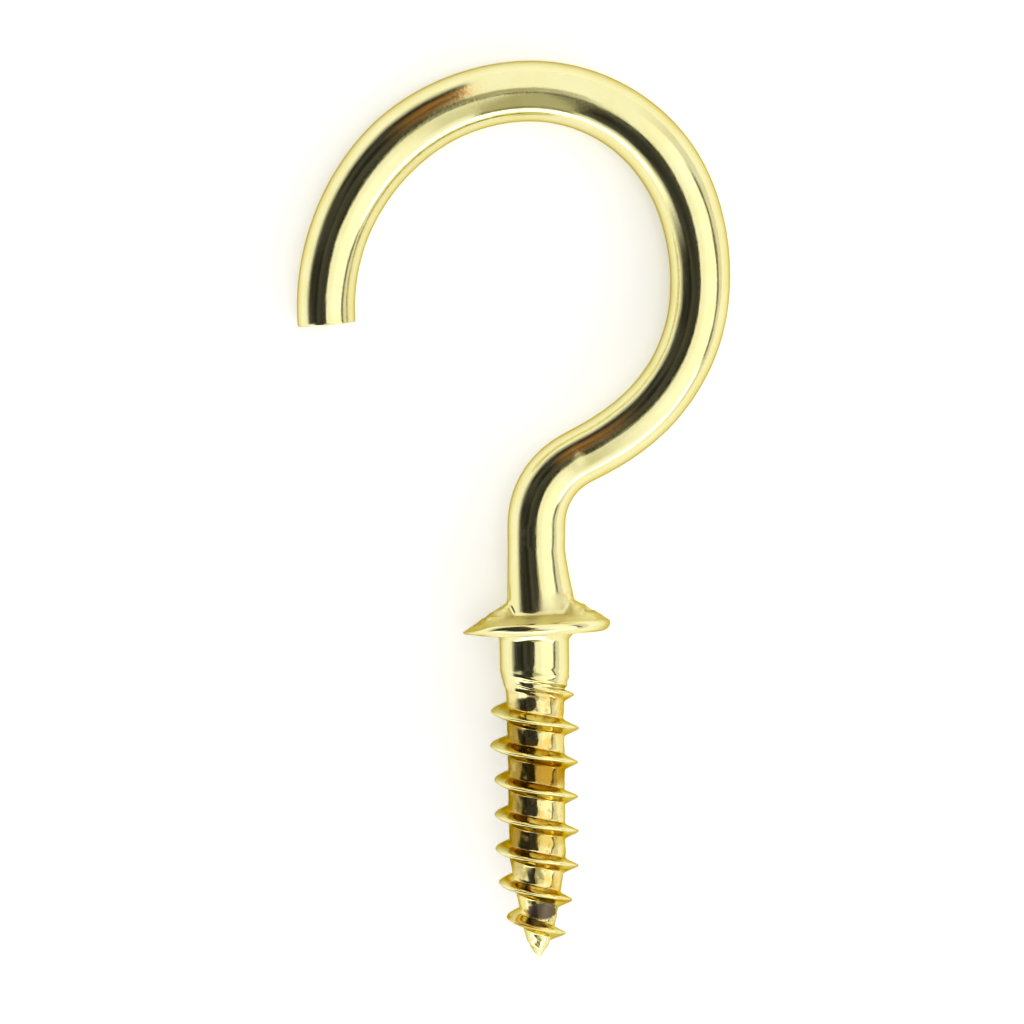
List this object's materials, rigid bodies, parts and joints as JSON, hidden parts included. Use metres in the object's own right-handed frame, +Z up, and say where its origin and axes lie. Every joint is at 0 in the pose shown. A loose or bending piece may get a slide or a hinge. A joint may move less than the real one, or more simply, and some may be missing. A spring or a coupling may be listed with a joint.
{
  "type": "cup hook",
  "caption": "Brass-plated screw-in cup hook of bent round wire, with an open loop, a cone-topped collar and a gimlet-point wood-screw thread, lying on its side.",
  "frame": {"origin": "on the table, under the middle of the hook's bounding box as it lies at rest", "axes": "+Z up from the table, +Y from the screw's point towards the far end of the loop, +X towards the loop's back, away from its cut end"},
  "size_m": [0.0194, 0.0398, 0.0065],
  "materials": {
    "brass_plate": "bright brass plate on steel wire, mirror-like, pale greenish yellow, with faint drawing marks"
  },
  "bodies": {
    "root": {"cup_hook": "brass_plate"}
  },
  "joints": []
}
